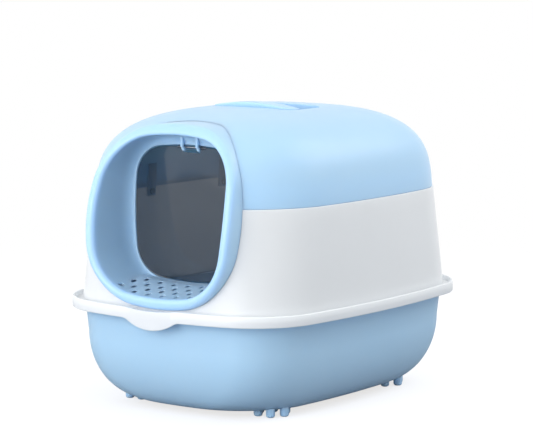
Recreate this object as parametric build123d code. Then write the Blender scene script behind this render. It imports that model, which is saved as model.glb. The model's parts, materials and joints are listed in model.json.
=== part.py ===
from build123d import *
import os
from dataclasses import astuple, dataclass
from math import hypot, sqrt

# Covered litter box: a deep pan on four rings of pegs, and a lift-off cover with a swing flap and a bail.
# Origin on the floor under the middle of the rim, +X to the right, +Y to the rear, +Z up, millimetres.

# Shared walls, clearances and the overrun of cuts
wall = 2.5
fit_gap = 0.3
running_gap = 0.08
overrun = 20.0

# Rim of the cover, the widest outline of the box
rim_width = 400.0
rim_length = 520.0
rim_corner = 100.0
rim_side_radius = 1300.0
rim_end_radius = 560.0
rim_bottom = 131.0
rim_height = 15.0
rim_wall = 3.0
rim_edge_round = 1.2
seat_rise = 7.0

# Finger tab at the front of the rim
tab_width = 84.0
tab_drop = 13.0
tab_blend = 14.0

# Upright wall of the skirt, at its foot and at the seam under the hood
skirt_side_inset = 10.5
skirt_end_inset = 20.0
skirt_side_draft = 5.5
skirt_end_draft = 4.0
skirt_foot_corner = 95.0
skirt_top_corner = 128.0
skirt_end_radius = 1400.0
skirt_height = 142.0

# Domed hood
hood_height = 116.0
hood_step = 1.2
dome_fullness = 3.1
dome_draft_share = 0.034
dome_rise_shares = (0.0, 0.2, 0.4, 0.58, 0.72, 0.83, 0.91, 0.96, 0.985)
tongue_drop = 5.0
tongue_root = 6.0

# Tabs of the hood, bosses of the skirt and the plugs that join them
plug_radius = 2.5
plug_head_radius = 4.5
plug_head = 2.0
plug_reach = 3.0
plug_drop = 11.0
plug_boss_radius = 5.5
plug_boss = 2.0
clip_width = 18.0
clip_drop = 18.0
clip_rise = 28.0
plug_front_lead = 30.0
plug_rear_inset = 106.0
plug_rear_x = 44.0

# Pan
pan_floor_height = 7.0
pan_floor_side_inset = 77.0
pan_floor_end_inset = 75.0
pan_floor_corner = 108.0
pan_curve_height = 90.0
pan_mouth_inset = 17.5
pan_draft = 4.5
pan_flange = 2.5
pan_flange_gap = 0.8
pan_curve_shares = (0.0, 0.06, 0.2, 0.45, 0.75, 1.0)

# Rings of foot pegs under the pan
foot_side_inset = 15.0
foot_end_inset = 48.5
foot_ring_radius = 20.0
peg_radius = 6.0
peg_length = 18.0
peg_round = 3.5
peg_count = 6

# Entrance collar: outer tube, lip, funnel and flap opening
collar_side_inset = 65.5
collar_lift = 3.0
collar_crown_drop = 12.5
collar_corner = 88.0
collar_bow_radius = 330.0
collar_tail = 18.0
bead_height = 3.0
bead_thickness = 3.0
lip_side = 13.5
lip_head = 15.0
lip_corner = 68.0
lip_thickness = 7.0
lip_outer_round = 5.5
lip_inner_round = 7.0
flare_foot = 11.7
flare_side = 9.0
flare_head = 15.0
opening_corner = 46.0
opening_bow_radius = 460.0
entrance_depth = 83.0
funnel_depth = 20.0
ramp_setback = 12.0
ramp_sill = 0.3
funnel_shares = (0.0, 0.35, 0.65, 0.88, 1.0)
visor_radius = 342.0
visor_lead = 11.0
visor_drop = 61.5

# Slots in the floor of the entrance
slot_width = 6.0
slot_length = 10.5
slot_pitch_x = 23.0
slot_pitch_y = 13.5
slot_columns = 7
slot_rows = 4
slot_setback = 19.0
slot_lift = 2.0

# Flap, its hinge rod and the two hooks that carry the rod
flap_gap = 1.6
flap_thickness = 2.5
flap_edge_round = 1.2
rod_radius = 1.5
rod_drop = 3.5
hook_spacing = 25.0
hook_width = 4.0
hook_eye_radius = 5.5
hook_lead = 2.0
hook_rise = 16.0
knuckle_radius = 2.3
knuckle_length = 8.5
knuckle_side_gap = 0.5
hinge_notch_gap = 1.5

# Handle well and folding bail
well_length_share = 0.3723
well_half_width = 42.0
well_corner = 19.0
well_depth = 24.0
bail_side_gap = 1.5
bail_arm = 6.0
bail_eye_radius = 6.0
bail_pivot_y = 16.0
bail_pivot_rise = 13.0
bail_grip_y = -28.0
bail_grip_width = 24.0
bail_grip_thickness = 9.0
bail_proud = 6.0
bail_arch = 7.0
bail_round = 3.0
bail_pin_radius = 2.5
bail_boss_radius = 5.5
bail_boss = 9.0
rest_width = 7.0
rest_depth = 8.0
rest_inset = 7.0

# Heights above the floor, from the pan up
seat_height = rim_bottom + seat_rise
rim_top = rim_bottom + rim_height
seam_height = seat_height + skirt_height
crown_height = seam_height + hood_height
well_floor = crown_height - well_depth
bail_pivot_height = well_floor + bail_pivot_rise
bail_top = crown_height + bail_proud

# Reach of the skirt and the pan's floor from the middle
skirt_foot_half_width = rim_width / 2 - skirt_side_inset
skirt_foot_half_length = rim_length / 2 - skirt_end_inset
skirt_top_half_width = skirt_foot_half_width - skirt_side_draft
skirt_top_half_length = skirt_foot_half_length - skirt_end_draft
pan_floor_half_width = rim_width / 2 - pan_floor_side_inset
pan_floor_half_length = rim_length / 2 - pan_floor_end_inset
foot_x = pan_floor_half_width - foot_side_inset
foot_y = pan_floor_half_length - foot_end_inset
well_half_length = skirt_top_half_width * well_length_share
bail_half_length = well_half_length - bail_side_gap

# The entrance stands between the skirt's ledge and the crown, and its lip in front of the skirt
collar_bottom = seat_height + wall + collar_lift
collar_top = crown_height - collar_crown_drop
entrance_height = (collar_bottom + collar_top) / 2
collar_half_height = (collar_top - collar_bottom) / 2
collar_half_width = skirt_top_half_width - collar_side_inset
lip_half_width = collar_half_width - lip_side
lip_half_height = collar_half_height - lip_head
opening_half_width = lip_half_width - flare_side
opening_half_height = lip_half_height - (flare_head + flare_foot) / 2
opening_lift = (flare_foot - flare_head) / 2
visor_front = skirt_foot_half_length + visor_lead
visor_height = entrance_height - visor_drop
opening_front = visor_front - entrance_depth
ramp_front = visor_front - ramp_setback
collar_rear = opening_front - collar_tail
slot_first_row = visor_front - slot_setback
plug_rear_y = skirt_top_half_length - plug_rear_inset


@dataclass(frozen=True)
class Outline:
    """A rounded rectangle whose four sides are shallow arcs, centred on its own origin."""

    half_width: float
    half_length: float
    corner: float
    side_radius: float
    end_radius: float

    def grown(self, by):
        """The parallel outline that runs `by` outside this one."""
        return Outline(*(size + by for size in astuple(self)))

    def corner_centre(self):
        """Centre of the corner arc that touches the side arc and the end arc."""
        side_x = self.half_width - self.side_radius
        end_y = self.half_length - self.end_radius
        side_reach = self.side_radius - self.corner
        end_reach = self.end_radius - self.corner
        apart = hypot(side_x, end_y)
        along = (side_reach**2 - end_reach**2 + apart**2) / (2 * apart)
        across = sqrt(side_reach**2 - along**2)
        toward = Vector(-side_x, end_y) / apart
        return Vector(side_x, 0) + toward * along + Vector(-toward.Y, toward.X) * across

    def quarter(self):
        """Points from the middle of the +X side, round the corner, to the middle of the +Y end."""
        centre = self.corner_centre()
        side_centre = Vector(self.half_width - self.side_radius, 0)
        end_centre = Vector(0, self.half_length - self.end_radius)
        side_touch = side_centre + (centre - side_centre).normalized() * self.side_radius
        end_touch = end_centre + (centre - end_centre).normalized() * self.end_radius
        corner_middle = centre + (side_touch + end_touch - centre * 2).normalized() * self.corner
        return side_touch, corner_middle, end_touch

    def face(self):
        """The face inside the outline, made of eight arcs."""
        side_touch, corner_middle, end_touch = self.quarter()

        def place(point, x_sign, y_sign):
            return (point.X * x_sign, point.Y * y_sign)

        corners = [[place(point, sx, sy) for point in (side_touch, corner_middle, end_touch)]
                   for sx, sy in ((1, 1), (-1, 1), (-1, -1), (1, -1))]
        right, rear = (self.half_width, 0), (0, self.half_length)
        left, front = (-self.half_width, 0), (0, -self.half_length)
        arcs = [
            ThreePointArc(corners[3][0], right, corners[0][0]),
            ThreePointArc(*corners[0]),
            ThreePointArc(corners[0][2], rear, corners[1][2]),
            ThreePointArc(*reversed(corners[1])),
            ThreePointArc(corners[1][0], left, corners[2][0]),
            ThreePointArc(*corners[2]),
            ThreePointArc(corners[2][2], front, corners[3][2]),
            ThreePointArc(*reversed(corners[3])),
        ]
        return Face(Wire(arcs))

    def reach_at(self, x):
        """How far the outline reaches towards +Y at a given x."""
        centre = self.corner_centre()
        _, _, end_touch = self.quarter()
        if abs(x) <= end_touch.X:
            return self.half_length - self.end_radius + sqrt(self.end_radius**2 - x**2)
        return centre.Y + sqrt(self.corner**2 - (abs(x) - centre.X)**2)

    def side_plane(self, y, height, sign):
        """Plane on the +X or -X side at a given y: its z runs outwards and its x runs up."""
        side_touch, _, _ = self.quarter()
        centre, radius = Vector(self.half_width - self.side_radius, 0), self.side_radius
        if y > side_touch.Y:
            centre, radius = self.corner_centre(), self.corner
        rise = y - centre.Y
        out = Vector(sqrt(radius**2 - rise**2), rise) / radius
        point = centre + out * radius
        return Plane(origin=(point.X * sign, point.Y, height), x_dir=(0, 0, 1), z_dir=(out.X * sign, out.Y, 0))

    def end_plane(self, x, height):
        """Plane on the +Y end at a given x: its z runs outwards and its x runs up."""
        _, _, end_touch = self.quarter()
        centre, radius = Vector(0, self.half_length - self.end_radius), self.end_radius
        if abs(x) > end_touch.X:
            centre, radius = self.corner_centre(), self.corner
        run = abs(x) - centre.X
        out = Vector(run, sqrt(radius**2 - run**2)) / radius
        point = centre + out * radius
        sign = 1 if x > 0 else -1
        return Plane(origin=(point.X * sign, point.Y, height), x_dir=(0, 0, 1), z_dir=(out.X * sign, out.Y, 0))


def blend(first, second, share):
    """The outline that lies a share of the way from the first to the second."""
    return Outline(*(a + (b - a) * share for a, b in zip(astuple(first), astuple(second))))


def level(outline, height):
    """The outline's face, lying flat at a height."""
    return Plane.XY.offset(height) * outline.face()


def upright(outline, front, lift=0):
    """The outline's face, standing across the entrance at a distance in front of the middle."""
    centre = (0, -front, entrance_height + lift)
    return Plane(origin=centre, x_dir=(1, 0, 0), z_dir=(0, -1, 0)) * outline.face()


def slab(outline, bottom, top):
    """The outline's prism between two heights."""
    return extrude(level(outline, bottom), top - bottom, dir=(0, 0, 1))


def tunnel(outline, front, rear, lift=0):
    """The outline's prism along Y, between two distances in front of the middle."""
    return extrude(upright(outline, front, lift), front - rear, dir=(0, 1, 0))


def box_between(low, high):
    """A box between two opposite corners."""
    size = [b - a for a, b in zip(low, high)]
    return Pos(*low) * Box(*size, align=(Align.MIN, Align.MIN, Align.MIN))


def rod_along_x(radius, start, end, y, height):
    """A round rod along X."""
    plane = Plane(origin=(start, y, height), z_dir=(1, 0, 0))
    return plane * Cylinder(radius, end - start, align=(Align.CENTER, Align.CENTER, Align.MIN))


# Outlines
rim_outline = Outline(rim_width / 2, rim_length / 2, rim_corner, rim_side_radius, rim_end_radius)
skirt_foot = Outline(
    skirt_foot_half_width, skirt_foot_half_length, skirt_foot_corner, rim_side_radius, skirt_end_radius)
skirt_top = Outline(
    skirt_top_half_width, skirt_top_half_length, skirt_top_corner, rim_side_radius, skirt_end_radius)
hood_base = skirt_top.grown(-hood_step)
pan_mouth = rim_outline.grown(-pan_mouth_inset)
pan_side = pan_mouth.grown(-pan_draft)
pan_floor = Outline(
    pan_floor_half_width, pan_floor_half_length, pan_floor_corner, rim_side_radius, rim_end_radius)
flange_edge = rim_outline.grown(-rim_wall - pan_flange_gap)
collar_outline = Outline(
    collar_half_width, collar_half_height, collar_corner, collar_bow_radius, collar_bow_radius)
lip_outline = Outline(lip_half_width, lip_half_height, lip_corner, collar_bow_radius, collar_bow_radius)
opening_outline = Outline(
    opening_half_width, opening_half_height, opening_corner, opening_bow_radius, opening_bow_radius)

# Places that several pieces share
skirt_inner_top = skirt_top.grown(-wall)
plug_height = seam_height - plug_drop
plug_planes = [skirt_inner_top.side_plane(y, plug_height, sign)
               for y in (-plug_front_lead, plug_rear_y) for sign in (-1, 1)]
plug_planes += [skirt_inner_top.end_plane(x, plug_height) for x in (-plug_rear_x, plug_rear_x)]
clip_face = -plug_boss - fit_gap
flap_y = -opening_front + wall / 2
rod_height = entrance_height + opening_lift + opening_half_height - rod_drop
knuckle_start = (hook_spacing + hook_width) / 2 + knuckle_side_gap
knuckle_end = knuckle_start + knuckle_length


def bowl(skin):
    """The pan's filled shape, drawn in by a skin on its sides and its floor."""
    side = pan_side.grown(-skin)
    curve = pan_curve_height - skin
    sections = []
    for share in pan_curve_shares:
        swell_share = sqrt(1 - (1 - share)**2)
        sections.append(level(blend(pan_floor, side, swell_share), pan_floor_height + skin + curve * share))
    sections.append(level(pan_mouth.grown(-skin), seat_height))
    return loft(sections)


def make_pan():
    """Deep pan with a flange round its mouth and four rings of foot pegs under it."""
    hollow = bowl(wall) + slab(pan_mouth.grown(-wall), seat_height, seat_height + overrun)
    pan = bowl(0) + slab(flange_edge, seat_height - pan_flange, seat_height)
    peg = Cylinder(peg_radius, peg_length, align=(Align.CENTER, Align.CENTER, Align.MIN))
    peg = fillet(peg.edges().group_by(Axis.Z)[0], peg_round)
    for x in (-foot_x, foot_x):
        for y in (-foot_y, foot_y):
            for place in PolarLocations(foot_ring_radius, peg_count):
                pan += Pos(x, y, 0) * place * peg
    return pan - hollow


def skirt_body(skin):
    """The filled shape of the skirt's upright wall, drawn in by a skin."""
    return loft([level(skirt_foot.grown(-skin), seat_height), level(skirt_top.grown(-skin), seam_height)])


def make_tab():
    """Half-moon finger tab that hangs from the front of the rim."""
    half = tab_width / 2
    arc_radius = (half**2 + tab_drop**2) / (2 * tab_drop)
    strip_half = half + tab_blend * 2
    strip_height = seat_height - rim_bottom
    strip = Pos(0, rim_bottom + strip_height / 2) * Rectangle(strip_half * 2, strip_height)
    moon = Pos(0, rim_bottom - tab_drop + arc_radius) * Circle(arc_radius)
    moon &= Pos(0, rim_bottom) * Rectangle(strip_half * 2, tab_drop * 2)
    profile = strip + moon
    bends = [v for v in profile.vertices() if abs(v.Y - rim_bottom) < fit_gap and abs(v.X) < half + fit_gap]
    profile = fillet(bends, tab_blend)
    prism = extrude(Plane.XZ * profile, rim_length)
    ring = slab(rim_outline, rim_bottom - tab_drop, seat_height)
    ring -= slab(rim_outline.grown(-rim_wall), rim_bottom - tab_drop - overrun, seat_height + overrun)
    return ring & prism


def make_skirt():
    """White ring of the cover: gutter rim with its finger tab, upright wall and plug bosses."""
    ledge_top = seat_height + wall
    rim = slab(rim_outline, rim_bottom, rim_top)
    flats = rim.faces().sort_by(Axis.Z)
    rim = fillet(flats[0].edges() + flats[-1].edges(), rim_edge_round)
    rim -= slab(rim_outline.grown(-rim_wall), rim_bottom - overrun, seat_height)
    rim -= slab(rim_outline.grown(-rim_wall), ledge_top, rim_top + overrun)
    hollow = skirt_body(wall)
    hollow += slab(skirt_foot.grown(-wall), rim_bottom - overrun, seat_height)
    hollow += slab(skirt_top.grown(-wall), seam_height, seam_height + overrun)
    skirt = rim + skirt_body(0) - hollow + make_tab()
    lying = (Align.CENTER, Align.CENTER, Align.MIN)
    filled = skirt_body(0)
    for plane in plug_planes:
        boss = plane.offset(-plug_boss) * Cylinder(plug_boss_radius, plug_boss + wall, align=lying)
        skirt += boss & filled
    for plane in plug_planes:
        skirt -= plane.offset(-plug_boss) * Cylinder(plug_radius + fit_gap, plug_reach + fit_gap, align=lying)
    return skirt - entrance_hole()


def entrance_hole():
    """Cut through the front of the cover that the collar passes through."""
    return tunnel(collar_outline.grown(fit_gap), rim_length / 2 + overrun, collar_rear)


def dome(skin):
    """The hood's filled shape, drawn in by a skin on its sides and its crown."""
    base = hood_base.grown(-skin)
    rise = crown_height - seam_height - skin
    sections = []
    for share in dome_rise_shares:
        round_share = 1 - (1 - share**dome_fullness)**(1 / dome_fullness)
        draw_share = dome_draft_share * share + (1 - dome_draft_share) * round_share
        outline = Outline(*(size * (1 - draw_share) for size in astuple(base)))
        sections.append(level(outline, seam_height + rise * share))
    return loft(sections)


def make_hood():
    """Blue domed hood with its handle well, the tongue inside the skirt and the clips for the plugs."""
    filled = dome(0)
    hole = entrance_hole()
    hood = filled - (dome(wall) + slab(hood_base.grown(-wall), seam_height - overrun, seam_height)) - hole
    tongue_outer = skirt_inner_top.grown(-fit_gap)
    tongue = slab(tongue_outer, seam_height - tongue_drop, seam_height + tongue_root)
    tongue -= slab(tongue_outer.grown(-wall), seam_height - overrun, seam_height + overrun)
    below = slab(tongue_outer, seam_height - overrun, seam_height)
    hood += (tongue & (filled + below)) - hole
    for plane in plug_planes:
        clip = plane.offset(clip_face) * Box(
            clip_rise + clip_drop, clip_width, wall, align=(Align.CENTER, Align.CENTER, Align.MAX))
        hood += Pos(0, 0, plug_drop + (clip_rise - clip_drop) / 2) * clip
    for plane in plug_planes:
        hood -= plane * Cylinder(plug_radius + running_gap, overrun)
    well = Pos(0, 0, well_floor) * extrude(
        RectangleRounded(well_half_length * 2, well_half_width * 2, well_corner), crown_height - well_floor + overrun)
    cup = Pos(0, 0, well_floor - wall) * extrude(
        RectangleRounded((well_half_length + wall) * 2, (well_half_width + wall) * 2, well_corner + wall),
        crown_height - well_floor + wall)
    for sign in (-1, 1):
        start, end = sorted((well_half_length * sign, (well_half_length + bail_boss) * sign))
        cup += rod_along_x(bail_boss_radius, start, end, bail_pivot_y, bail_pivot_height)
    hood += cup & filled
    hood -= well
    rest_top = bail_top - bail_arch - bail_grip_thickness - fit_gap
    for sign in (-1, 1):
        rest_x = (bail_half_length - rest_inset - rest_width / 2) * sign
        hood += Pos(rest_x, bail_grip_y, well_floor - wall) * Box(
            rest_width, rest_depth, rest_top - well_floor + wall, align=(Align.CENTER, Align.CENTER, Align.MIN))
    for sign in (-1, 1):
        start, end = sorted((well_half_length * sign, pin_end() * sign))
        hood -= rod_along_x(bail_pin_radius + running_gap, start, end, bail_pivot_y, bail_pivot_height)
    return hood


def pin_end():
    """How far from the middle a bail pin reaches into its boss."""
    return well_half_length + bail_boss - wall


def funnel(skin):
    """The entrance's hollow, from in front of the lip to the flap opening, grown by a skin."""
    start = opening_front + funnel_depth
    sections = []
    for share in funnel_shares:
        swell_share = sqrt(1 - share**2)
        outline = blend(opening_outline, lip_outline, swell_share).grown(skin)
        lift = opening_lift * (1 - swell_share)
        sections.append(upright(outline, start - (funnel_depth + skin) * share, lift))
    return tunnel(lip_outline.grown(skin), visor_front + overrun, start) + loft(sections)


def ramp_face(front, top):
    """Cross-section of the ramp: its top is bowed like the foot of the opening."""
    bottom = collar_bottom - overrun
    edge = top + lip_half_width**2 / (2 * opening_bow_radius)
    half = lip_half_width
    corners = [(half, edge), (half, bottom), (-half, bottom), (-half, edge)]
    bow = ThreePointArc(corners[-1], (0, top), corners[0])
    sides = [Line(start, end) for start, end in zip(corners, corners[1:])]
    return Plane(origin=(0, -front, 0), x_dir=(1, 0, 0), z_dir=(0, -1, 0)) * make_face([bow, *sides])


def ramp(drop):
    """The block under the entrance's floor, which climbs from the lip to the flap, lowered by a drop."""
    start = opening_front + funnel_depth
    foot = entrance_height - lip_half_height - drop
    rear = ramp_face(start, foot + flare_foot - ramp_sill)
    return loft([ramp_face(ramp_front, foot), rear]) + extrude(rear, funnel_depth + wall, dir=(0, 1, 0))


def visor(skin):
    """Everything behind the lip's front, which is curved in side view, drawn back by a skin."""
    centre_y = visor_radius - visor_front
    half = collar_half_width + overrun
    return rod_along_x(visor_radius - skin, -half, half, centre_y, visor_height)


def make_collar():
    """Blue entrance collar: rolled lip, outer tube, funnel with a slotted floor, and two hinge hooks."""
    front = visor_front + overrun
    start = opening_front + funnel_depth
    ring = tunnel(collar_outline, front, collar_rear) & visor(0)
    ring -= tunnel(lip_outline, front, start)
    ring = fillet(lip_front(ring).inner_wires()[0].edges(), lip_inner_round)
    ring = fillet(lip_front(ring).outer_wire().edges(), lip_outer_round)
    tube_inside = collar_outline.grown(-wall)
    cavity = tunnel(tube_inside, front, collar_rear - overrun) & visor(lip_thickness)
    cavity -= funnel(wall) - ramp(wall)
    collar = ring + (ramp(0) & tunnel(lip_outline, ramp_front, start)) - (funnel(0) - ramp(0))
    collar -= tunnel(opening_outline, start, collar_rear - overrun, opening_lift) + cavity
    for slot in entrance_slots(tube_inside):
        collar -= slot
    collar += make_bead()
    for sign in (-1, 1):
        collar += make_hook(hook_spacing / 2 * sign)
    return collar - rod_along_x(rod_radius + running_gap, -hook_spacing, hook_spacing, flap_y, rod_height)


def make_bead():
    """Bead round the collar's tube that bears on the inside of the skirt's wall."""
    ring = tunnel(collar_outline.grown(bead_height), rim_length / 2, collar_rear)
    ring -= tunnel(collar_outline.grown(-wall / 2), rim_length / 2 + overrun, collar_rear - overrun)
    inset = wall + fit_gap
    ring &= slab(skirt_foot, seat_height, seam_height - tongue_drop - fit_gap)
    return (ring & skirt_body(inset)) - skirt_body(inset + bead_thickness)


def lip_front(ring):
    """The ring-shaped front face of the lip."""
    return min((face for face in ring.faces() if face.inner_wires()), key=lambda face: face.center().Y)


def entrance_slots(tube_inside):
    """Upright slots through the floor of the funnel, in staggered rows."""
    slots = []
    for row in range(slot_rows):
        columns = slot_columns - row % 2
        for column in range(columns):
            x = (column - (columns - 1) / 2) * slot_pitch_x
            y = -slot_first_row + row * slot_pitch_y
            bottom = entrance_height - tube_inside.reach_at(abs(x) + slot_width / 2) + slot_lift
            profile = Pos(x, y, bottom) * SlotOverall(slot_length, slot_width, rotation=90)
            slots.append(extrude(profile, entrance_height - bottom, dir=(0, 0, 1)))
    return slots


def make_hook(x):
    """One hook: an eye round the rod and a stem up into the funnel's ceiling."""
    start, end = x - hook_width / 2, x + hook_width / 2
    eye = rod_along_x(hook_eye_radius, start, end, flap_y, rod_height)
    stem = box_between((start, flap_y - hook_eye_radius - hook_lead, rod_height),
                       (end, flap_y, rod_height + hook_rise))
    return eye + (stem & funnel(wall))


def make_flap():
    """Smoked flap with rounded edges, a notch for the hooks and a knuckle at each side of it."""
    outline = opening_outline.grown(-flap_gap)
    flap = tunnel(outline, -flap_y + flap_thickness / 2, -flap_y - flap_thickness / 2, opening_lift)
    edges = flap.edges().group_by(Axis.Y)
    flap = fillet(edges[0] + edges[-1], flap_edge_round)
    notch_bottom = rod_height - hook_eye_radius - hinge_notch_gap
    flap -= box_between((-knuckle_start, flap_y - overrun, notch_bottom),
                        (knuckle_start, flap_y + overrun, rod_height + overrun))
    for sign in (-1, 1):
        start, end = sorted((knuckle_start * sign, knuckle_end * sign))
        flap += rod_along_x(knuckle_radius, start, end, flap_y, rod_height)
    return flap - rod_along_x(rod_radius + running_gap, -knuckle_end, knuckle_end, flap_y, rod_height)


def make_rod():
    """Hinge rod of the flap."""
    return rod_along_x(rod_radius, -knuckle_end, knuckle_end, flap_y, rod_height)


def make_plugs():
    """The push-in plugs: a shank through the hood's clip into the skirt's boss, and a head inside."""
    lying = (Align.CENTER, Align.CENTER, Align.MIN)
    plugs = []
    for plane in plug_planes:
        head_face = clip_face - wall
        shank = plane.offset(head_face) * Cylinder(plug_radius, wall + fit_gap + plug_reach, align=lying)
        head = plane.offset(head_face - plug_head) * Cylinder(plug_head_radius, plug_head, align=lying)
        plugs.append((shank + head).solid())
    return Compound(children=plugs)


def make_bail():
    """Folding bail: an arched grip between two arms with pivot eyes."""
    low_end = bail_top - bail_arch
    crest, end = (0, bail_top), (bail_half_length, low_end)
    top = ThreePointArc((-bail_half_length, low_end), crest, end)
    under = ThreePointArc((-bail_half_length, low_end - bail_grip_thickness), (0, bail_top - bail_grip_thickness),
                          (bail_half_length, low_end - bail_grip_thickness))
    sides = [Line(top @ 0, under @ 0), Line(top @ 1, under @ 1)]
    profile = Plane.XZ * make_face([top, under, *sides])
    grip = extrude(profile, bail_grip_width / 2, both=True)
    grip = fillet(grip.edges().filter_by(Axis.Z).group_by(Axis.Y)[0], well_corner - bail_side_gap)
    by_depth = grip.faces().group_by(Axis.Y)
    long_edges = (by_depth[0].edges() + by_depth[-1].edges()).filter_by(Axis.Z, reverse=True)
    grip = fillet(long_edges, bail_round)
    bail = Pos(0, bail_grip_y, 0) * grip
    tip_height = low_end - bail_grip_thickness / 2
    tip_radius = bail_grip_thickness / 2 - bail_round / 2
    tip_y = bail_grip_y + bail_grip_width / 2 - tip_radius - bail_round
    circles = [Pos(bail_pivot_y, bail_pivot_height) * Circle(bail_eye_radius).edge(),
               Pos(tip_y, tip_height) * Circle(tip_radius).edge()]
    for sign in (-1, 1):
        arm = extrude(Plane.YZ * make_hull(circles), bail_arm)
        bail += Pos(bail_half_length - bail_arm if sign > 0 else -bail_half_length, 0, 0) * arm
    half = bail_half_length + overrun
    return bail - rod_along_x(bail_pin_radius + running_gap, -half, half, bail_pivot_y, bail_pivot_height)


def make_bail_pin(sign):
    """Pivot pin from a bail eye into its boss beside the well."""
    start, end = sorted(((bail_half_length - bail_arm) * sign, pin_end() * sign))
    return rod_along_x(bail_pin_radius, start, end, bail_pivot_y, bail_pivot_height)


def make_parts():
    """Every piece of the box, by name."""
    parts = {"base_pan": make_pan()}
    parts["cover_skirt"] = make_skirt()
    parts["hood"] = make_hood()
    parts["entrance_collar"] = make_collar()
    parts["flap_door"] = make_flap()
    parts["flap_hinge_rod"] = make_rod()
    parts["hood_plugs"] = make_plugs()
    parts["carry_handle"] = make_bail()
    parts["handle_pin_left"] = make_bail_pin(-1)
    parts["handle_pin_right"] = make_bail_pin(1)
    return parts


os.makedirs("parts", exist_ok=True)
for part_name, part_shape in make_parts().items():
    export_step(part_shape, f"parts/{part_name}.step")
    print(part_name, round(part_shape.volume), len(part_shape.solids()))
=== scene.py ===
"""Looks of the covered litter box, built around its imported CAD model.

Lengths are metres in the frame of the CAD model: the origin is on the floor under the middle of the rim,
+X points right, +Y to the rear, away from the entrance, and +Z up.
"""

import json
import logging
import math
from collections.abc import Iterable
from dataclasses import astuple, dataclass
from enum import Enum
from typing import ClassVar

import bmesh
import bpy
from bmesh.types import BMEdge, BMesh, BMFace, BMVert
from bpy.types import ID, Material, Mesh, Node, NodeSocket, NodeTree, Object
from mathutils import Matrix, Vector


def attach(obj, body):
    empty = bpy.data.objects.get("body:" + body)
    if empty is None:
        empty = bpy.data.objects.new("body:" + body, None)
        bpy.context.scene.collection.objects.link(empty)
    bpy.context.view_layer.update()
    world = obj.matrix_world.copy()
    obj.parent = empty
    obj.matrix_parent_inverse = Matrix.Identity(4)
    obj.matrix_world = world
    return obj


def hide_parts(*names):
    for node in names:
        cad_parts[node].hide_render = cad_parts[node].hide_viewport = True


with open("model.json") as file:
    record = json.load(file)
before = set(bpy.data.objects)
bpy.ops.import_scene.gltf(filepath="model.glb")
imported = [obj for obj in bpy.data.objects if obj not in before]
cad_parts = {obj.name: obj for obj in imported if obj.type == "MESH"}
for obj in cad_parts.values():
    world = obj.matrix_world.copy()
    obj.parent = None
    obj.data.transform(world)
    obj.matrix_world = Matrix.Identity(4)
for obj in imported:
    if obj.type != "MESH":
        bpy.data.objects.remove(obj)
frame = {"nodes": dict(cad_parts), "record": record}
log = logging.getLogger("litter_box")
SIDES = (-1.0, 1.0)
SMALL_ROD_SIDES = 24
Pair = tuple[float, float]
Triple = tuple[float, float, float]
Ring = list[Vector]


class Body(Enum):
    """The rigid bodies that pieces ride on."""

    PAN = "pan"
    COVER = "cover"
    FLAP = "flap"
    HANDLE = "handle"


class Slot(Enum):
    """The record's material slots."""

    BLUE = "blue_plastic"
    WHITE = "white_plastic"
    SMOKE = "smoked_plastic"
    GREY = "grey_plastic"
    STEEL = "steel"


@dataclass(frozen=True)
class Tone:
    """A colour that drifts a little over a moulding: linear colours of its fuller and its paler patches."""

    full: Triple
    pale: Triple


@dataclass(frozen=True)
class Wiring:
    """A shader's node tree, with short ways to add, set and link nodes."""

    tree: NodeTree

    @staticmethod
    def fill(node: Node, **inputs: object) -> None:
        """Sets a node's inputs, named with _ for the spaces in their names."""
        for name, value in inputs.items():
            node.inputs[name.replace("_", " ")].default_value = value

    def add(self, kind: str, **inputs: object) -> Node:
        """Adds a node and sets its inputs.

        Args:
            kind: The node's type name after ShaderNode.
            **inputs: What fill sets.

        Returns:
            The new node.
        """
        node = self.tree.nodes.new("ShaderNode" + kind)
        self.fill(node, **inputs)
        return node

    def wire(self, *links: tuple[Node, str | int, Node, str | int]) -> None:
        """Links outputs to inputs, each given as a node and a socket's name or number."""
        for source, output, target, entry in links:
            self.tree.links.new(source.outputs[output], target.inputs[entry])

    def math(self, operation: str, *values: NodeSocket | float) -> Node:
        """Adds a math node.

        Args:
            operation: The node's operation.
            *values: Its two operands.

        Returns:
            The new node.
        """
        node = self.add("Math")
        node.operation = operation
        for socket, value in zip(node.inputs, values):
            if isinstance(value, NodeSocket):
                self.tree.links.new(value, socket)
            else:
                socket.default_value = value
        return node

    def spread(self, value: NodeSocket, span: Pair, onto: Pair) -> Node:
        """Maps a varying value from one span onto another.

        Args:
            value: The varying value.
            span: Where the value mostly lies.
            onto: What the span's ends become.

        Returns:
            The new node.
        """
        node = self.add("MapRange", From_Min=span[0], From_Max=span[1], To_Min=onto[0], To_Max=onto[1])
        self.tree.links.new(value, node.inputs["Value"])
        return node

    def tint(self, shader: Node, tone: Tone, share: NodeSocket) -> None:
        """Gives a shader a tone that a varying share takes from full to pale.

        Args:
            shader: The shader.
            tone: The tone.
            share: The varying share.
        """
        mix = self.add("Mix")
        mix.data_type = "RGBA"
        self.fill(mix, A=(*tone.full, 1.0), B=(*tone.pale, 1.0))
        self.tree.links.new(share, mix.inputs["Factor"])
        self.wire((mix, "Result", shader, "Base Color"))


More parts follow.
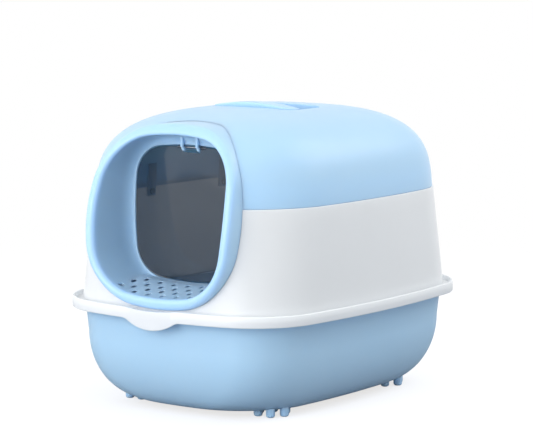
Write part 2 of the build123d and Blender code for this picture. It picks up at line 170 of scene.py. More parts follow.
@dataclass(frozen=True)
class MouldGrain:
    """Shader group: the fine spark-eroded grain of a mould and the slow drift of its gloss and colour."""

    name: str = "mould_grain"
    smear: float = 5.0

    def build(self) -> NodeTree:
        """Builds the group.

        Returns:
            A group with the inputs Vector, Grain and Drift and the outputs Height, Gloss and Tone.
        """
        tree = bpy.data.node_groups.new(self.name, "ShaderNodeTree")
        for name, kind in (("Vector", "Vector"), ("Grain", "Float"), ("Drift", "Float")):
            tree.interface.new_socket(name, in_out="INPUT", socket_type="NodeSocket" + kind)
        for name in ("Height", "Gloss", "Tone"):
            tree.interface.new_socket(name, in_out="OUTPUT", socket_type="NodeSocketFloat")
        entry, leave = tree.nodes.new("NodeGroupInput"), tree.nodes.new("NodeGroupOutput")
        wiring = Wiring(tree)
        grain = wiring.add("TexNoise", Detail=3.0, Roughness=0.6)
        pebble = wiring.add("TexVoronoi")
        cloud = wiring.add("TexNoise", Detail=2.0, Roughness=0.5)
        smear = wiring.add("TexNoise", Detail=4.0, Roughness=0.65, Distortion=0.6)
        for node, scale in ((grain, "Grain"), (pebble, "Grain"), (cloud, "Drift")):
            wiring.wire((entry, "Vector", node, "Vector"), (entry, scale, node, "Scale"))
        finer = wiring.math("MULTIPLY", entry.outputs["Drift"], self.smear)
        height = wiring.math("ADD", grain.outputs["Fac"], pebble.outputs["Distance"])
        both = wiring.math("ADD", cloud.outputs["Fac"], smear.outputs["Fac"])
        gloss = wiring.math("MULTIPLY", both.outputs[0], 0.5)
        wiring.wire((entry, "Vector", smear, "Vector"), (finer, 0, smear, "Scale"), (height, 0, leave, "Height"),
                    (gloss, 0, leave, "Gloss"), (cloud, "Fac", leave, "Tone"))
        return tree

    def place(self, wiring: Wiring, grain: float, drift: float) -> Node:
        """Puts the group in a material, on Object coordinates.

        Args:
            wiring: The material's wiring.
            grain: How many grains there are to a metre.
            drift: How many slow patches there are to a metre.

        Returns:
            The group's node.
        """
        node = wiring.add("Group")
        node.node_tree = bpy.data.node_groups.get(self.name) or self.build()
        wiring.fill(node, Grain=grain, Drift=drift)
        wiring.wire((wiring.add("TexCoord"), "Object", node, "Vector"))
        return node


@dataclass(frozen=True)
class Finish:
    """What all finishes share: a name, a tone and a material that is built once."""

    name: str
    tone: Tone

    def material(self) -> Material:
        """The finish as a Blender material.

        Returns:
            The material, built when it is first asked for.
        """
        found = bpy.data.materials.get(self.name)
        if found:
            return found
        material = bpy.data.materials.new(self.name)
        material.use_nodes = True
        self.dress(Wiring(material.node_tree), material.node_tree.nodes["Principled BSDF"])
        return material

    def dress(self, wiring: Wiring, shader: Node) -> None:
        """Sets up the shader, each finish in its own way."""
        raise NotImplementedError


@dataclass(frozen=True)
class MouldedPlastic(Finish):
    """Injection-moulded plastic: satin with a fine grain, or polished and clear."""

    ior: float = 1.5
    gloss: Pair = (0.30, 0.40)
    gloss_span: Pair = (0.3, 0.7)
    grain: float = 900.0
    drift: float = 7.0
    grain_depth: float = 0.00006
    grain_strength: float = 0.35
    clear: float = 0.0
    see_through: float = 0.0
    see_through_depth: Triple = (0.008, 0.008, 0.008)

    def dress(self, wiring: Wiring, shader: Node) -> None:
        """Sets up the shader.

        Args:
            wiring: The material's wiring.
            shader: Its shader.
        """
        wiring.fill(shader, IOR=self.ior, Alpha=1.0 - self.clear, Subsurface_Weight=self.see_through,
                    Subsurface_Radius=self.see_through_depth, Subsurface_Scale=1.0)
        grain = MouldGrain().place(wiring, self.grain, self.drift)
        gloss = wiring.spread(grain.outputs["Gloss"], self.gloss_span, self.gloss)
        wiring.wire((gloss, "Result", shader, "Roughness"))
        wiring.tint(shader, self.tone, grain.outputs["Tone"])
        if self.grain_depth:
            bump = wiring.add("Bump", Strength=self.grain_strength, Distance=self.grain_depth)
            wiring.wire((grain, "Height", bump, "Height"), (bump, "Normal", shader, "Normal"))


@dataclass(frozen=True)
class DrawnSteel(Finish):
    """Drawn wire with fine lines along its length."""

    gloss: Pair = (0.2, 0.42)
    line_scale: Triple = (40.0, 2600.0, 2600.0)

    def dress(self, wiring: Wiring, shader: Node) -> None:
        """Sets up the shader.

        Args:
            wiring: The material's wiring.
            shader: Its shader.
        """
        wiring.fill(shader, Metallic=1.0)
        stretch = wiring.add("Mapping", Scale=self.line_scale)
        lines = wiring.add("TexNoise", Scale=1.0, Detail=3.0)
        gloss = wiring.spread(lines.outputs["Fac"], (0.0, 1.0), self.gloss)
        wiring.wire((wiring.add("TexCoord"), "Object", stretch, "Vector"), (stretch, "Vector", lines, "Vector"),
                    (gloss, "Result", shader, "Roughness"))
        wiring.tint(shader, self.tone, lines.outputs["Fac"])


FINISHES: dict[Slot, Finish] = {
    Slot.BLUE: MouldedPlastic(
        "satin_blue_plastic", Tone((0.41, 0.64, 0.94), (0.44, 0.665, 0.955)), see_through=0.6),
    Slot.WHITE: MouldedPlastic(
        "satin_white_plastic", Tone((0.765, 0.785, 0.805), (0.795, 0.815, 0.835)), see_through=0.6),
    Slot.SMOKE: MouldedPlastic(
        "smoked_clear_plastic", Tone((0.026, 0.042, 0.062), (0.034, 0.052, 0.074)), gloss=(0.05, 0.12),
        grain=300.0, drift=12.0, grain_depth=0.0, clear=0.55),
    Slot.GREY: MouldedPlastic("grey_plug_plastic", Tone((0.10, 0.115, 0.13), (0.13, 0.145, 0.16))),
    Slot.STEEL: DrawnSteel("drawn_steel", Tone((0.24, 0.25, 0.27), (0.36, 0.37, 0.39))),
}


def lying(points: Ring, height: float) -> Ring:
    """An outline's points, laid flat at a height."""
    return [Vector((point.x, point.y, height)) for point in points]


def stacked(layers: Iterable[tuple["Outline", float]], count: int) -> list[Ring]:
    """Rings of some points each, from outlines and their heights."""
    return [lying(outline.ring(count), height) for outline, height in layers]


def standing(points: Ring, y: float, height: float) -> Ring:
    """An outline's points, stood square across the entrance."""
    return [Vector((point.x, y, point.y + height)) for point in points]


def quarter_turn(steps: int) -> list[Pair]:
    """Sines and cosines from 0 to 90 degrees."""
    angles = [math.pi / 2 * step / steps for step in range(steps + 1)]
    return [(math.sin(angle), math.cos(angle)) for angle in angles]


@dataclass(frozen=True)
class Outline:
    """A rounded rectangle whose sides are shallow arcs, centred on its own origin."""

    SIDE_SHARE: ClassVar[float] = 0.28
    ANGLE_SLACK: ClassVar[float] = 1e-9
    half_width: float
    half_length: float
    corner: float
    side_radius: float
    end_radius: float

    def grown(self, by: float) -> "Outline":
        """The parallel outline that runs `by` outside this one."""
        return Outline(*(size + by for size in astuple(self)))

    def scaled(self, by: float) -> "Outline":
        """The outline with all its sizes multiplied."""
        return Outline(*(size * by for size in astuple(self)))

    def blended(self, other: "Outline", share: float) -> "Outline":
        """The outline that lies a share of the way from this one to the other."""
        return Outline(*(a + (b - a) * share for a, b in zip(astuple(self), astuple(other))))

    def arcs(self) -> list[tuple[Vector, float, float, float]]:
        """The arcs of the first quarter. The corner arc touches the side arc and the end arc.

        Returns:
            Centre, radius and first and last angle of the side arc, the corner arc and the end arc.
        """
        side_x, end_y = self.half_width - self.side_radius, self.half_length - self.end_radius
        side_reach, end_reach = self.side_radius - self.corner, self.end_radius - self.corner
        apart = math.hypot(side_x, end_y)
        along = (side_reach**2 - end_reach**2 + apart**2) / (2 * apart)
        across = math.sqrt(side_reach**2 - along**2)
        toward = Vector((-side_x, end_y)) / apart
        side, end = Vector((side_x, 0.0)), Vector((0.0, end_y))
        corner = side + toward * along + Vector((-toward.y, toward.x)) * across
        first = math.atan2(corner.y, corner.x - side.x)
        second = math.atan2(corner.y - end.y, corner.x)
        return [(side, self.side_radius, 0.0, first), (corner, self.corner, first, second),
                (end, self.end_radius, second, math.pi / 2)]

    def ring(self, count: int) -> Ring:
        """Points round the outline, spread over its arcs in the same way on every outline.

        Args:
            count: How many points there are, a multiple of four.

        Returns:
            The points, anticlockwise from the middle of the right side.
        """
        straight = round(count / 4 * self.SIDE_SHARE)
        quarter = []
        for (centre, radius, start, stop), steps in zip(self.arcs(), (straight, count // 4 - 2 * straight, straight)):
            for step in range(steps):
                angle = start + (stop - start) * step / steps
                quarter.append(centre + Vector((math.cos(angle), math.sin(angle))) * radius)
        quarter.append(Vector((0.0, self.half_length)))
        half = quarter + [Vector((-point.x, point.y)) for point in reversed(quarter[:-1])]
        return half[:-1] + [Vector((-point.x, -point.y)) for point in half[:-1]]

    def facing(self, along: float, end: bool) -> tuple[Vector, Vector]:
        """A point of the right side or the rear end and the way it faces.

        Args:
            along: The point's y on the side or its x on the end.
            end: Whether the point is on the rear end.

        Returns:
            The point and its outward direction.
        """
        arcs = self.arcs()
        for centre, radius, start, stop in reversed(arcs) if end else arcs:
            offset = (abs(along) - (centre.x if end else centre.y)) / radius
            angle = math.acos(offset) if end else math.asin(offset)
            if start <= angle <= stop:
                break
        out = Vector((math.cos(angle), math.sin(angle)))
        point = centre + out * radius
        turn = Vector((math.copysign(1.0, along), 1.0) if end else (1.0, math.copysign(1.0, along)))
        return point * turn, out * turn

    def reach(self, toward: Vector) -> float:
        """How far the outline reaches from its origin in one direction.

        Args:
            toward: The direction, of any length.

        Returns:
            The distance from the origin to the outline.
        """
        ray = Vector((abs(toward.x), abs(toward.y))).normalized()
        for centre, radius, start, stop in self.arcs():
            along = ray.dot(centre)
            distance = along + math.sqrt(max(along**2 - centre.length_squared + radius**2, 0.0))
            out = ray * distance - centre
            if math.atan2(out.y, out.x) <= stop + self.ANGLE_SLACK:
                break
        return distance


class Skin:
    """A surface grown ring by ring: each ring is extruded from the last one and set on its own points."""

    def __init__(self, first: Ring, *others: Ring) -> None:
        """Sets a circle on the first ring's points and grows through the other rings.

        Args:
            first: The first ring's points.
            *others: The points of the rings that follow it.
        """
        self.bm = bmesh.new()
        made = bmesh.ops.create_circle(self.bm, cap_ends=False, segments=len(first), radius=1.0)
        self.rings = [list(made["verts"])]
        self.place(first)
        for points in others:
            self.grow(points)

    def place(self, points: Ring) -> None:
        """Sets the last ring on its points."""
        for vertex, point in zip(self.rings[-1], points):
            vertex.co = point

    def loop(self, index: int) -> list[BMEdge]:
        """The edges of one ring."""
        ring = self.rings[index]
        return [self.bm.edges.get(pair) for pair in zip(ring, ring[1:] + ring[:1])]

    def grow(self, points: Ring) -> int:
        """Extrudes the last ring to a new one.

        Args:
            points: Where the new ring's vertices go.

        Returns:
            The new ring's number.
        """
        made = bmesh.ops.extrude_edge_only(self.bm, edges=self.loop(-1))
        fresh = set(Shapes.corners(made))
        self.rings.append([
            next(edge.other_vert(vertex) for edge in vertex.link_edges if edge.other_vert(vertex) in fresh)
            for vertex in self.rings[-1]])
        self.place(points)
        return len(self.rings) - 1

    def close(self) -> None:
        """Joins the last ring to the first one."""
        bmesh.ops.bridge_loops(self.bm, edges=self.loop(0) + self.loop(-1))

    def cap(self, *indexes: int) -> None:
        """Fills the named rings."""
        for index in indexes:
            bmesh.ops.edgeloop_fill(self.bm, edges=self.loop(index))

    def soften(self, width: float, *indexes: int, segments: int = 3) -> None:
        """Rounds the edges of the named rings."""
        edges = [edge for index in indexes for edge in self.loop(index)]
        Shapes.soften(self.bm, edges, width, segments)


def show(name: str, data: ID) -> Object:
    """Puts a mesh, a lamp or a camera into the scene.

    Args:
        name: The new object's name.
        data: What it shows.

    Returns:
        The object.
    """
    holder = bpy.data.objects.new(name, data)
    bpy.context.scene.collection.objects.link(holder)
    return holder


class Shapes:
    """Small solids and operations that several sub-assemblies use."""

    @staticmethod
    def soften(bm: BMesh, geom: list[BMEdge] | list[BMVert], width: float, segments: int = 3,
               affect: str = "EDGES") -> None:
        """Rounds edges or corners."""
        bmesh.ops.bevel(bm, geom=geom, offset=width, offset_type="OFFSET", segments=segments, profile=0.5,
                        affect=affect, material=-1, clamp_overlap=True)

    @staticmethod
    def corners(made: dict[str, list[object]], key: str = "geom") -> list[BMVert]:
        """The vertices among what an operator has made."""
        return [item for item in made[key] if isinstance(item, BMVert)]

    @staticmethod
    def edges_at(corners: list[BMVert]) -> list[BMEdge]:
        """The edges at some vertices, each once."""
        return list(dict.fromkeys(edge for vertex in corners for edge in vertex.link_edges))

    @staticmethod
    def thicken(bm: BMesh, faces: list[BMFace], height: float) -> None:
        """Extrudes flat faces upwards."""
        made = bmesh.ops.extrude_face_region(bm, geom=faces)
        bmesh.ops.translate(bm, vec=(0.0, 0.0, height), verts=Shapes.corners(made))

    @staticmethod
    def to_mesh(bm: BMesh, name: str) -> Mesh:
        """Turns a finished bmesh, which is used up, into a mesh.

        Args:
            bm: The bmesh.
            name: The mesh's name.

        Returns:
            The mesh.
        """
        mesh = bpy.data.meshes.new(name)
        bm.to_mesh(mesh)
        bm.free()
        return mesh

    @staticmethod
    def block(bm: BMesh, low: tuple[float, ...], high: tuple[float, ...], width: float = 0.0,
              turn: Matrix = Matrix()) -> None:
        """Adds a box between two corners.

        Args:
            bm: The mesh that gets the box.
            low: Its lowest corner.
            high: Its highest corner.
            width: How far its edges are rounded.
            turn: Where the box goes from there.
        """
        size = Vector(high) - Vector(low)
        middle = (Vector(high) + Vector(low)) / 2
        made = bmesh.ops.create_cube(
            bm, size=1.0, matrix=turn @ Matrix.Translation(middle) @ Matrix.Diagonal((*size, 1.0)))
        if width:
            Shapes.soften(bm, Shapes.edges_at(made["verts"]), width)

    @staticmethod
    def rod(bm: BMesh, radius: float, start: Vector, end: Vector, width: float = 0.0,
            segments: int = 32) -> None:
        """Adds a round rod between two points.

        Args:
            bm: The mesh that gets the rod.
            radius: Its radius.
            start: The middle of its first end.
            end: The middle of its last end.
            width: How far its end edges are rounded.
            segments: How many sides it has.
        """
        run = end - start
        place = Matrix.Translation((start + end) / 2) @ run.to_track_quat("Z", "Y").to_matrix().to_4x4()
        made = bmesh.ops.create_cone(bm, cap_ends=True, segments=segments, radius1=radius, radius2=radius,
                                     depth=run.length, matrix=place)
        if width:
            ends = [edge for edge in Shapes.edges_at(made["verts"])
                    if any(len(face.verts) == segments for face in edge.link_faces)]
            Shapes.soften(bm, ends, width, segments=4)

    @staticmethod
    def drop_folds(bm: BMesh) -> None:
        """Splits faces of many sides into triangles and deletes those that lie back to back on the same corners.

        Args:
            bm: The mesh.
        """
        bmesh.ops.triangulate(bm, faces=[face for face in bm.faces if len(face.verts) > 4])
        stacks: dict[frozenset[BMVert], list[BMFace]] = {}
        for face in bm.faces:
            stacks.setdefault(frozenset(face.verts), []).append(face)
        folds = [face for stack in stacks.values() if len(stack) > 1 for face in stack]
        bmesh.ops.delete(bm, geom=folds, context="FACES")

    @staticmethod
    def join(bm: BMesh, other: BMesh) -> None:
        """Adds another mesh.

        Args:
            bm: The mesh that grows.
            other: The mesh that is added and used up.
        """
        bmesh.ops.recalc_face_normals(other, faces=other.faces)
        mesh = Shapes.to_mesh(other, "joined")
        bm.from_mesh(mesh)
        bpy.data.meshes.remove(mesh)

    @staticmethod
    def carve(bm: BMesh, tool: BMesh) -> BMesh:
        """Takes a closed tool out of a closed shell.

        Args:
            bm: The shell, which is used up.
            tool: The tool, which is used up.

        Returns:
            What is left of the shell.
        """
        holders = []
        for name, shape in (("carve_shell", bm), ("carve_tool", tool)):
            bmesh.ops.recalc_face_normals(shape, faces=shape.faces)
            holders.append(show(name, Shapes.to_mesh(shape, name)))
        cut = holders[0].modifiers.new("carve", "BOOLEAN")
        cut.operation, cut.solver, cut.object = "DIFFERENCE", "EXACT", holders[1]
        carved = bmesh.new()
        carved.from_object(holders[0], bpy.context.evaluated_depsgraph_get())
        for holder in holders:
            mesh = holder.data
            bpy.data.objects.remove(holder)
            bpy.data.meshes.remove(mesh)
        return carved


@dataclass(frozen=True)
class Piece:
    """How a finished mesh becomes a piece of the model."""

    name: str
    body: Body
    slot: Slot
    nodes: tuple[str, ...]
    sharp: float = 32.0
    merge: float = 1e-6

    def publish(self, bm: BMesh) -> None:
        """Makes the piece's object, which rides on its body.

        Args:
            bm: The finished mesh, which is used up.
        """
        bmesh.ops.remove_doubles(bm, verts=bm.verts, dist=self.merge)
        Shapes.drop_folds(bm)
        bmesh.ops.recalc_face_normals(bm, faces=bm.faces)
        for face in bm.faces:
            face.smooth = True
        for edge in bm.edges:
            edge.smooth = len(edge.link_faces) == 2 and edge.calc_face_angle() < math.radians(self.sharp)
        mesh = Shapes.to_mesh(bm, self.name)
        mesh.materials.append(FINISHES[self.slot].material())
        piece = show(self.name, mesh)
        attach(piece, self.body.value)
        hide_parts(*self.nodes)
        log.info("%s: %d faces on %s", self.name, len(mesh.polygons), self.body.value)


@dataclass(frozen=True)
class BoxForm:
    """The outlines that the sub-assemblies share."""

    rim: Outline = Outline(0.200, 0.260, 0.100, 1.300, 0.560)
    skirt_foot: Outline = Outline(0.1895, 0.240, 0.095, 1.300, 1.400)
    skirt_top: Outline = Outline(0.184, 0.236, 0.128, 1.300, 1.400)
    collar: Outline = Outline(0.1185, 0.120, 0.088, 0.330, 0.330)
    lip: Outline = Outline(0.105, 0.105, 0.068, 0.330, 0.330)
    opening: Outline = Outline(0.096, 0.09165, 0.046, 0.460, 0.460)
    well: Outline = Outline(0.0685, 0.042, 0.019, 3.0, 3.0)
    entrance_height: float = 0.2635
    opening_lift: float = -0.00165
    seat_height: float = 0.138
    seam_height: float = 0.280
    wall: float = 0.0025
    fit_gap: float = 0.0003
    flap_axis: Pair = (-0.16675, 0.350)
    bail_axis: Pair = (0.016, 0.385)
    plug_sides: tuple[float, ...] = (-0.030, 0.130)
    plug_rear: float = 0.044
    plug_drop: float = 0.011
    plug_boss: float = 0.002
    tool_stations: int = 200
    tool_span: Pair = (-0.285, -0.150)

    def wall_at(self, height: float) -> Outline:
        """The outer outline of the skirt's wall at a height."""
        share = (height - self.seat_height) / (self.seam_height - self.seat_height)
        return self.skirt_foot.blended(self.skirt_top, share)

    def plug_places(self) -> list[Matrix]:
        """Finds the places of the plugs on the inside of the skirt's wall.

        Returns:
            A frame for each plug, with y outwards, z up and z = 0 on the floor.
        """
        wall = self.skirt_top.grown(-self.wall)
        spots = [wall.facing(y, False) for y in self.plug_sides]
        spots += [tuple(v * Vector((-1.0, 1.0)) for v in spot) for spot in spots]
        spots += [wall.facing(x, True) for x in (-self.plug_rear, self.plug_rear)]
        return [Matrix(((out.y, out.x, 0.0, point.x), (-out.x, out.y, 0.0, point.y), (0.0, 0.0, 1.0, 0.0),
                        (0.0, 0.0, 0.0, 1.0))) for point, out in spots]

    def entrance_tool(self) -> BMesh:
        """Makes the prism that cuts the front of the cover for the collar.

        Returns:
            The prism's mesh.
        """
        points = self.collar.grown(self.fit_gap).ring(self.tool_stations)
        skin = Skin(*(standing(points, y, self.entrance_height) for y in self.tool_span))
        skin.cap(0, 1)
        return skin.bm


@dataclass
class LitterPan:
    """Deep blue pan with a flange round its mouth and four rings of foot pegs."""

    form: BoxForm
    stations: int = 240
    floor: Outline = Outline(0.123, 0.185, 0.108, 1.300, 0.560)
    floor_height: float = 0.007
    curve_height: float = 0.090
    mouth_inset: float = 0.0175
    draft: float = 0.0045
    flange_inset: float = 0.0038
    flange: float = 0.0025
    curve_steps: int = 22
    search_steps: int = 16
    middle_share: float = 0.5
    flange_round: float = 0.0010
    mouth_round: float = 0.0025
    peg_radius: float = 0.006
    peg_length: float = 0.018
    peg_round: float = 0.0035
    peg_count: int = 6
    peg_ring: float = 0.020
    foot_x: float = 0.108
    foot_y: float = 0.1365

    def bowl(self, skin: float) -> list[tuple[Outline, float]]:
        """The bowl's outlines from its floor up, drawn in by a skin.

        Args:
            skin: How far the bowl is drawn in.

        Returns:
            Outlines and their heights.
        """
        mouth = self.form.rim.grown(-self.mouth_inset - skin)
        side = mouth.grown(-self.draft)
        rings = []
        for sine, cosine in quarter_turn(self.curve_steps):
            height = self.floor_height + skin + (self.curve_height - skin) * (1.0 - cosine)
            rings.append((self.floor.blended(side, sine), height))
        return rings + [(mouth.grown(-self.draft / 2), (rings[-1][1] + self.form.seat_height) / 2),
                        (mouth, self.form.seat_height)]

    def build(self) -> None:
        """Builds the pan and its pegs."""
        form = self.form
        flange = form.rim.grown(-self.flange_inset)
        outside = self.bowl(0.0)
        outside[-1] = (outside[-1][0], form.seat_height - self.flange)
        middle = self.floor.scaled(self.middle_share)
        rings = [(middle, self.floor_height), *outside,
                 (flange, form.seat_height - self.flange), (flange, form.seat_height)]
        rings += list(reversed(self.bowl(form.wall)))
        rings.append((middle, self.floor_height + form.wall))
        skin = Skin(*stacked(rings, self.stations))
        skin.cap(0, -1)
        mouth = len(outside)
        skin.soften(self.flange_round, mouth + 1, mouth + 2, segments=2)
        skin.soften(self.mouth_round, mouth, mouth + 3)
        for x in (-self.foot_x, self.foot_x):
            for y in (-self.foot_y, self.foot_y):
                self.add_foot(skin.bm, x, y)
        Piece("litter_pan", Body.PAN, Slot.BLUE, ("base_pan",)).publish(skin.bm)

    def add_foot(self, bm: BMesh, x: float, y: float) -> None:
        """Adds one ring of round-tipped pegs whose tops end inside the bowl's skin.

        Args:
            bm: The pan's mesh.
            x: The ring's place across the pan.
            y: The ring's place along the pan.
        """
        for number in range(self.peg_count):
            angle = 2 * math.pi * number / self.peg_count
            foot = Vector((x + self.peg_ring * math.cos(angle), y + self.peg_ring * math.sin(angle), 0.0))
            others = set(bm.verts)
            top = foot + Vector((0.0, 0.0, self.peg_length))
            Shapes.rod(bm, self.peg_radius, foot, top, self.peg_round, SMALL_ROD_SIDES)
            for vertex in bm.verts:
                if vertex not in others and vertex.co.z > self.peg_length / 2:
                    vertex.co.z = self.underside(vertex.co.xy) + self.form.wall / 2

    def underside(self, place: Vector) -> float:
        """Height of the bowl's outside over a place.

        Args:
            place: The place on the ground.

        Returns:
            The height.
        """
        side = self.form.rim.grown(-self.mouth_inset - self.draft)
        low, high = 0.0, math.pi / 2
        for _ in range(self.search_steps):
            middle = (low + high) / 2
            inside = self.floor.blended(side, math.sin(middle)).reach(place) < place.length
            low, high = (middle, high) if inside else (low, middle)
        return self.floor_height + self.curve_height * (1.0 - math.cos(low))


@dataclass
class CoverSkirt:
    """White lower ring of the cover: gutter rim with a finger tab, and the upright wall."""

    form: BoxForm
    stations: int = 320
    rim_bottom: float = 0.131
    rim_top: float = 0.146
    rim_wall: float = 0.003
    edge_round: float = 0.0012
    tab_half: float = 0.042
    tab_drop: float = 0.013
    tab_blend: float = 0.0012
    wall_steps: int = 8
    boss_radius: float = 0.0055
    boss_round: float = 0.0004
    gutter_round: float = 0.0015
    top_round: float = 0.0009

    def lower_edge(self, outline: Outline) -> Ring:
        """The rim's lower edge, which dips at the front to make the half-moon tab.

        Args:
            outline: The rim's outer or inner outline.

        Returns:
            The edge's points.
        """
        radius = (self.tab_half**2 + self.tab_drop**2) / (2 * self.tab_drop)
        points = lying(outline.ring(self.stations), self.rim_bottom)
        for point in points:
            if point.y < 0.0 and abs(point.x) < radius:
                dip = self.tab_drop - radius + math.sqrt(radius**2 - point.x**2)
                point.z -= (dip + math.hypot(dip, self.tab_blend)) / 2
        return points

    def build(self) -> None:
        """Builds the skirt."""
        form = self.form
        inner = form.rim.grown(-self.rim_wall)
        ledge = form.seat_height + form.wall
        heights = [ledge + (form.seam_height - ledge) * step / self.wall_steps for step in range(self.wall_steps + 1)]
        gutter = [(form.rim, self.rim_top), (inner, self.rim_top), (inner, ledge)]
        wall = [(form.wall_at(height), height) for height in heights]
        inside = [(form.skirt_top.grown(-form.wall), form.seam_height),
                  (form.skirt_foot.grown(-form.wall), form.seat_height), (inner, form.seat_height)]
        foot, last = len(gutter), len(gutter) + len(wall)
        skin = Skin(self.lower_edge(form.rim), *stacked(gutter + wall + inside, self.stations), self.lower_edge(inner))
        skin.close()
        skin.soften(self.edge_round, 0, 1, 2, len(skin.rings) - 1)
        skin.soften(self.gutter_round, foot, foot + 1)
        skin.soften(self.top_round, last, last + 1)
        bm = Shapes.carve(skin.bm, form.entrance_tool())
        height = form.seam_height - form.plug_drop
        for place in form.plug_places():
            Shapes.rod(bm, self.boss_radius, place @ Vector((0.0, -form.plug_boss, height)),
                       place @ Vector((0.0, form.wall / 2, height)), self.boss_round)
        Piece("cover_ring", Body.COVER, Slot.WHITE, ("cover_skirt",)).publish(bm)


@dataclass
class DomedHood:
    """Blue domed top of the cover with its handle well, its tongue and its clips."""

    form: BoxForm
    stations: int = 320
    rise: float = 0.116
    step: float = 0.0012
    fullness: float = 3.1
    draft_share: float = 0.034
    tongue_drop: float = 0.005
    tongue_root: float = 0.006
    well_floor: float = 0.372
    well_inset: float = 0.008
    well_round: float = 0.0015
    well_foot_round: float = 0.0030
    seam_round: float = 0.0013
    rings_behind_tongue: int = 3
    search_steps: int = 48
    crown_share: float = 0.60
    dome_steps: int = 18
    morph_shares: tuple[float, ...] = (0.05, 0.12, 0.22, 0.36, 0.54, 0.76)
    boss_radius: float = 0.0055
    boss: float = 0.009
    rest_x: float = 0.0565
    rest_y: float = -0.028
    rest_half: Pair = (0.0035, 0.004)
    rest_top: float = 0.3857
    rest_sink: float = 0.001
    seat_round: float = 0.0008
    clip_half: float = 0.009
    clip_drop: float = 0.018
    clip_rise: float = 0.028
    clip_lean: float = 0.065
    clip_round: float = 0.0006

    def drawn_in(self, share: float) -> float:
        """The dome's size at a share of its rise, as a share of its base."""
        rounding = 1.0 - (1.0 - share**self.fullness)**(1.0 / self.fullness)
        return 1.0 - self.draft_share * share - (1.0 - self.draft_share) * rounding

    def share_at(self, size: float) -> float:
        """Finds where the dome has drawn in to a size.

        Args:
            size: The size, as a share of the dome's base.

        Returns:
            The height, as a share of the dome's rise.
        """
        low, high = 0.0, 1.0
        for _ in range(self.search_steps):
            middle = (low + high) / 2
            low, high = (middle, high) if self.drawn_in(middle) > size else (low, middle)
        return low

    def dome(self, skin: float) -> list[Ring]:
        """Rings of the dome from the handle well's edge down to the seam.

        Args:
            skin: How far the dome is drawn in.

        Returns:
            The rings' points.
        """
        form = self.form
        base = form.skirt_top.grown(-self.step - skin)
        rise = self.rise - skin
        well = form.well.grown(skin).ring(self.stations)
        crown = base.scaled(self.crown_share).ring(self.stations)
        rings = []
        for share in (0.0, *self.morph_shares):
            ring = []
            for near, far in zip(well, crown):
                point = near.lerp(far, share)
                size = point.length / base.reach(point)
                ring.append(Vector((point.x, point.y, form.seam_height + rise * self.share_at(size))))
            rings.append(ring)
        top = math.asin(self.share_at(self.crown_share)**(self.fullness / 2))
        for number in range(self.dome_steps + 1):
            share = math.sin(top * (1.0 - number / self.dome_steps))**(2 / self.fullness)
            outline = base.scaled(self.drawn_in(share))
            rings.append(lying(outline.ring(self.stations), form.seam_height + rise * share))
        return rings

    def build(self) -> None:
        """Builds the hood."""
        form = self.form
        well = form.well.ring(self.stations)
        skin = Skin(lying(form.well.grown(-self.well_inset).ring(self.stations), self.well_floor))
        foot = skin.grow(lying(well, self.well_floor))
        edge = foot + 1
        for ring in self.dome(0.0):
            seam = skin.grow(ring)
        tongue = form.skirt_top.grown(-form.wall - form.fit_gap)
        hollow = tongue.grown(-form.wall)
        bottom, root = form.seam_height - self.tongue_drop, form.seam_height + self.tongue_root
        edges = ((tongue, form.seam_height), (tongue, bottom), (hollow, bottom), (hollow, root))
        inside = reversed(self.dome(form.wall)[:-self.rings_behind_tongue])
        for ring in (*stacked(edges, self.stations), *inside):
            skin.grow(ring)
        cup = form.well.grown(form.wall)
        skin.grow(lying(cup.ring(self.stations), self.well_floor - form.wall))
        skin.cap(0, -1)
        skin.soften(self.well_round, edge)
        skin.soften(self.well_foot_round, foot, segments=4)
        skin.soften(self.seam_round, seam)
        bm = Shapes.carve(skin.bm, form.entrance_tool())
        self.add_handle_seats(bm)
        self.add_clips(bm)
        Piece("domed_hood", Body.COVER, Slot.BLUE, ("hood",)).publish(bm)

    def add_handle_seats(self, bm: BMesh) -> None:
        """Adds the bosses that hold the handle's pins and the rests under its grip.

        Args:
            bm: The hood's mesh.
        """
        start = self.form.well.half_width + self.form.wall / 2
        end = self.form.well.half_width + self.boss
        for sign in SIDES:
            Shapes.rod(bm, self.boss_radius, Vector((start * sign, *self.form.bail_axis)),
                       Vector((end * sign, *self.form.bail_axis)), self.seat_round)
            middle = Vector((self.rest_x * sign, self.rest_y))
            half = Vector(self.rest_half)
            Shapes.block(bm, (*(middle - half), self.well_floor - self.rest_sink),
                         (*(middle + half), self.rest_top), self.seat_round)

    def add_clips(self, bm: BMesh) -> None:
        """Adds the clips that the plugs hold to the skirt, which lean in with the dome.

        Args:
            bm: The hood's mesh.
        """
        form = self.form
        face = -form.plug_boss - form.fit_gap
        lean = Matrix.Identity(4)
        lean[1][2], lean[1][3] = -self.clip_lean, self.clip_lean * (form.seam_height - form.plug_drop)
        for place in form.plug_places():
            Shapes.block(bm, (-self.clip_half, face - form.wall, form.seam_height - self.clip_drop),
                         (self.clip_half, face, form.seam_height + self.clip_rise), self.clip_round, place @ lean)


